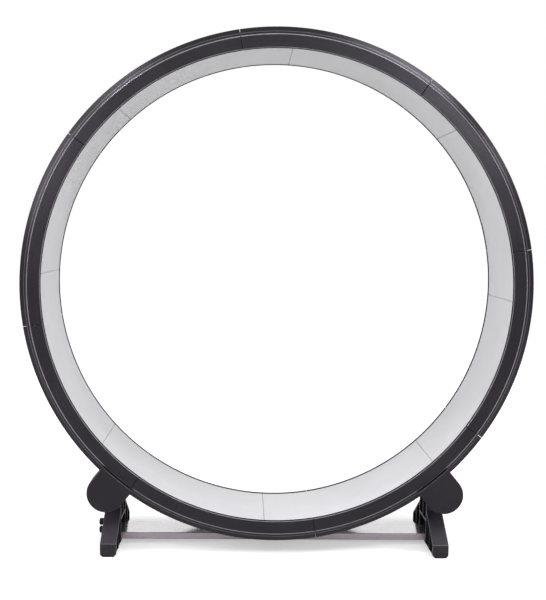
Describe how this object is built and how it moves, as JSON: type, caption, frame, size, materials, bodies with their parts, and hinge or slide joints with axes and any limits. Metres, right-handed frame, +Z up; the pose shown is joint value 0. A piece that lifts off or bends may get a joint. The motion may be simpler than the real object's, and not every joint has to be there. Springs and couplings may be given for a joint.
{
  "type": "pet exercise wheel",
  "caption": "Large upright running wheel for a house pet: a segmented black ring lined with foam pads that turns on rollers in a low two-foot base.",
  "frame": {"origin": "on the floor, under the middle of the ring", "axes": "+Z up; +Y along the ring's axis, from the front to the back; +X to the right, seen from the front"},
  "size_m": [1.2192, 0.29, 1.2549],
  "materials": {
    "rim_plastic": "satin moulded",
    "running_foam": "closed-cell foam sheet, matte",
    "base_plastic": "satin moulded",
    "cover_plastic": "satin moulded",
    "bar_laminate": "pale gloss laminate",
    "roller_tyre": "soft matte",
    "roller_nylon": "natural nylon",
    "bearing_steel": "ground",
    "zinc_steel": "zinc plated",
    "foot_rubber": "matte",
    "knob_plastic": "satin"
  },
  "bodies": {
    "base": {"support_left": "base_plastic", "foot_pads_left": "foot_rubber", "roller_shaft_left": "bearing_steel", "bar_bracket_left": "zinc_steel", "support_right": "base_plastic", "foot_pads_right": "foot_rubber", "roller_shaft_right": "bearing_steel", "bar_bracket_right": "zinc_steel", "roller_cover_front_left": "cover_plastic", "roller_cover_rear_left": "cover_plastic", "roller_cover_front_right": "cover_plastic", "roller_cover_rear_right": "cover_plastic", "connecting_bar": "bar_laminate", "bar_screws": "zinc_steel", "bracket_screws": "zinc_steel", "cover_screws": "zinc_steel", "bearing_spacers": "zinc_steel", "back_washers": "zinc_steel", "front_washers": "zinc_steel", "axle_nuts": "zinc_steel"},
    "wheel": {"rim_segment_0": "rim_plastic", "running_pad_0": "running_foam", "joint_plate_0": "rim_plastic", "rim_segment_1": "rim_plastic", "running_pad_1": "running_foam", "joint_plate_1": "rim_plastic", "rim_segment_2": "rim_plastic", "running_pad_2": "running_foam", "joint_plate_2": "rim_plastic", "rim_segment_3": "rim_plastic", "running_pad_3": "running_foam", "joint_plate_3": "rim_plastic", "rim_segment_4": "rim_plastic", "running_pad_4": "running_foam", "joint_plate_4": "rim_plastic", "rim_segment_5": "rim_plastic", "running_pad_5": "running_foam", "joint_plate_5": "rim_plastic", "rim_segment_6": "rim_plastic", "running_pad_6": "running_foam", "joint_plate_6": "rim_plastic", "rim_segment_7": "rim_plastic", "running_pad_7": "running_foam", "joint_plate_7": "rim_plastic", "joint_screws": "zinc_steel"},
    "roller_front_left": {"roller_tyre_front_left": "roller_tyre", "roller_hub_front_left": "roller_nylon", "roller_bearings_front_left": "bearing_steel"},
    "roller_rear_left": {"roller_tyre_rear_left": "roller_tyre", "roller_hub_rear_left": "roller_nylon", "roller_bearings_rear_left": "bearing_steel"},
    "roller_front_right": {"roller_tyre_front_right": "roller_tyre", "roller_hub_front_right": "roller_nylon", "roller_bearings_front_right": "bearing_steel"},
    "roller_rear_right": {"roller_tyre_rear_right": "roller_tyre", "roller_hub_rear_right": "roller_nylon", "roller_bearings_rear_right": "bearing_steel"},
    "knob_lower": {"knob_lower": "knob_plastic"},
    "knob_upper": {"knob_upper": "knob_plastic"}
  },
  "joints": [
    {"name": "wheel_spin", "type": "hinge", "parent": "base", "child": "wheel", "pos_m": [0, 0, 0.6453], "axis": [0, 1, 0], "continuous": true},
    {"name": "roller_front_left_spin", "type": "hinge", "parent": "base", "child": "roller_front_left", "pos_m": [-0.3977, -0.1035, 0.16096], "axis": [0, 1, 0], "continuous": true},
    {"name": "roller_rear_left_spin", "type": "hinge", "parent": "base", "child": "roller_rear_left", "pos_m": [-0.3977, 0.1035, 0.16096], "axis": [0, 1, 0], "continuous": true},
    {"name": "roller_front_right_spin", "type": "hinge", "parent": "base", "child": "roller_front_right", "pos_m": [0.3977, -0.1035, 0.16096], "axis": [0, 1, 0], "continuous": true},
    {"name": "roller_rear_right_spin", "type": "hinge", "parent": "base", "child": "roller_rear_right", "pos_m": [0.3977, 0.1035, 0.16096], "axis": [0, 1, 0], "continuous": true},
    {"name": "knob_lower_turn", "type": "hinge", "parent": "base", "child": "knob_lower", "pos_m": [-0.4172, 0, 0.025], "axis": [1, 0, 0], "continuous": true},
    {"name": "knob_upper_turn", "type": "hinge", "parent": "base", "child": "knob_upper", "pos_m": [-0.4172, 0, 0.045], "axis": [1, 0, 0], "continuous": true}
  ],
  "couplings": [
    {"joint": "roller_front_left_spin", "follows": "wheel_spin", "ratio": -17.209},
    {"joint": "roller_rear_left_spin", "follows": "wheel_spin", "ratio": -17.209},
    {"joint": "roller_front_right_spin", "follows": "wheel_spin", "ratio": -17.209},
    {"joint": "roller_rear_right_spin", "follows": "wheel_spin", "ratio": -17.209}
  ]
}
